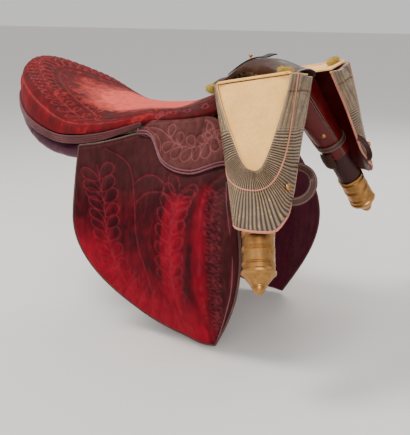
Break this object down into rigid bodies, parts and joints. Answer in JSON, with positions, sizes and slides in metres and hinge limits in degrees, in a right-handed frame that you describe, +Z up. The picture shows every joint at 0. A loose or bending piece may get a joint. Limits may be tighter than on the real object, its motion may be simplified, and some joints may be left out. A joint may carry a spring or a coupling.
{
  "type": "military saddle",
  "caption": "Military saddle with a dished quilted seat, hanging quilted flaps under short skirts, stuffed panels, and brass tipped holsters under braided flap covers.",
  "frame": {"origin": "on the middle line below the lowest part of the seat, at the height where the saddle bears on the horse's back", "axes": "+X forward to the horse's head, +Y to the horse's left, +Z up"},
  "size_m": [0.7504, 0.603, 0.5322],
  "materials": {
    "band_velvet": "quilted velvet",
    "bar_wood": "plain wood",
    "billet_leather": "worn dark leather",
    "black_leather": "black leather",
    "bridge_leather": "worn dark leather",
    "bridge_pad_leather": "worn dark leather",
    "cantle_arch_wood": "plain wood",
    "catch_iron": "forged iron",
    "cover_felt": "cream felt",
    "cover_lace": "woven metal thread braid",
    "cover_strap_leather": "worn dark leather",
    "ferrule_brass": "aged brass",
    "flap_velvet": "quilted velvet",
    "head_plate_iron": "forged iron",
    "holster_pad_leather": "worn dark leather",
    "holster_red_leather": "glossy red leather",
    "holster_tube_leather": "worn dark leather",
    "keeper_leather": "worn dark leather",
    "knob_brass": "aged brass",
    "panel_leather": "worn dark leather",
    "pommel_arch_wood": "plain wood",
    "roll_lace": "woven metal thread braid",
    "seat_velvet": "quilted velvet",
    "skirt_velvet": "quilted velvet",
    "staple_iron": "forged iron",
    "stirrup_bar_iron": "forged iron",
    "stud_brass": "aged brass",
    "webbing_linen": "linen web"
  },
  "bodies": {
    "saddle": {"bridge_knob": "knob_brass", "bridge_pad": "bridge_pad_leather", "bridge_strap": "black_leather", "cantle_band": "band_velvet", "crupper_staple": "staple_iron", "holster_bridge": "bridge_leather", "left_front_billet": "billet_leather", "left_holster_ferrule": "ferrule_brass", "left_holster_keeper": "keeper_leather", "left_holster_pad": "holster_pad_leather", "left_holster_sleeve": "holster_red_leather", "left_holster_tube": "holster_tube_leather", "left_panel": "panel_leather", "left_rear_billet": "billet_leather", "left_stirrup_bar": "stirrup_bar_iron", "left_tree_bar": "bar_wood", "right_front_billet": "billet_leather", "right_holster_ferrule": "ferrule_brass", "right_holster_keeper": "keeper_leather", "right_holster_pad": "holster_pad_leather", "right_holster_sleeve": "holster_red_leather", "right_holster_tube": "holster_tube_leather", "right_panel": "panel_leather", "right_rear_billet": "billet_leather", "right_stirrup_bar": "stirrup_bar_iron", "right_tree_bar": "bar_wood", "seat_cushion": "seat_velvet", "seat_webbing": "webbing_linen", "tree_cantle_arch": "cantle_arch_wood", "tree_head_plate": "head_plate_iron", "tree_pommel_arch": "pommel_arch_wood"},
    "right_flap": {"right_flap": "flap_velvet"},
    "right_skirt": {"right_skirt": "skirt_velvet"},
    "right_cover": {"right_cover_wrap": "cover_felt", "right_cover_lace": "cover_lace", "right_cover_top": "cover_felt", "right_cover_stud": "stud_brass", "right_rear_cover_roll": "roll_lace", "right_front_cover_roll": "roll_lace", "right_cover_strap": "cover_strap_leather"},
    "right_catch": {"right_bar_catch": "catch_iron"},
    "left_flap": {"left_flap": "flap_velvet"},
    "left_skirt": {"left_skirt": "skirt_velvet"},
    "left_cover": {"left_cover_wrap": "cover_felt", "left_cover_lace": "cover_lace", "left_cover_top": "cover_felt", "left_cover_stud": "stud_brass", "left_rear_cover_roll": "roll_lace", "left_front_cover_roll": "roll_lace", "left_cover_strap": "cover_strap_leather"},
    "left_catch": {"left_bar_catch": "catch_iron"}
  },
  "joints": [
    {"name": "right_flap_lift", "type": "hinge", "parent": "saddle", "child": "right_flap", "pos_m": [0.0865, -0.1087, 0.03047], "axis": [-0.982, -0.1245, -0.1422], "range_deg": [0, 45]},
    {"name": "right_skirt_lift", "type": "hinge", "parent": "right_flap", "child": "right_skirt", "pos_m": [0.0865, -0.1087, 0.03047], "axis": [-0.982, -0.1245, -0.1422], "range_deg": [0, 40]},
    {"name": "right_cover_lift", "type": "hinge", "parent": "saddle", "child": "right_cover", "pos_m": [0.263, -0.0617, 0.1087], "axis": [-0.9842, 0, -0.1772], "range_deg": [0, 80]},
    {"name": "right_catch_tip", "type": "hinge", "parent": "saddle", "child": "right_catch", "pos_m": [0.02758, -0.10875, 0.00915], "axis": [0, -1, 0], "range_deg": [0, 50]},
    {"name": "left_flap_lift", "type": "hinge", "parent": "saddle", "child": "left_flap", "pos_m": [0.0865, 0.1087, 0.03047], "axis": [0.982, -0.1245, 0.1422], "range_deg": [0, 45]},
    {"name": "left_skirt_lift", "type": "hinge", "parent": "left_flap", "child": "left_skirt", "pos_m": [0.0865, 0.1087, 0.03047], "axis": [0.982, -0.1245, 0.1422], "range_deg": [0, 40]},
    {"name": "left_cover_lift", "type": "hinge", "parent": "saddle", "child": "left_cover", "pos_m": [0.263, 0.0617, 0.1087], "axis": [0.9842, 0, 0.1772], "range_deg": [0, 80]},
    {"name": "left_catch_tip", "type": "hinge", "parent": "saddle", "child": "left_catch", "pos_m": [0.02758, 0.10875, 0.00915], "axis": [0, -1, 0], "range_deg": [0, 50]}
  ]
}
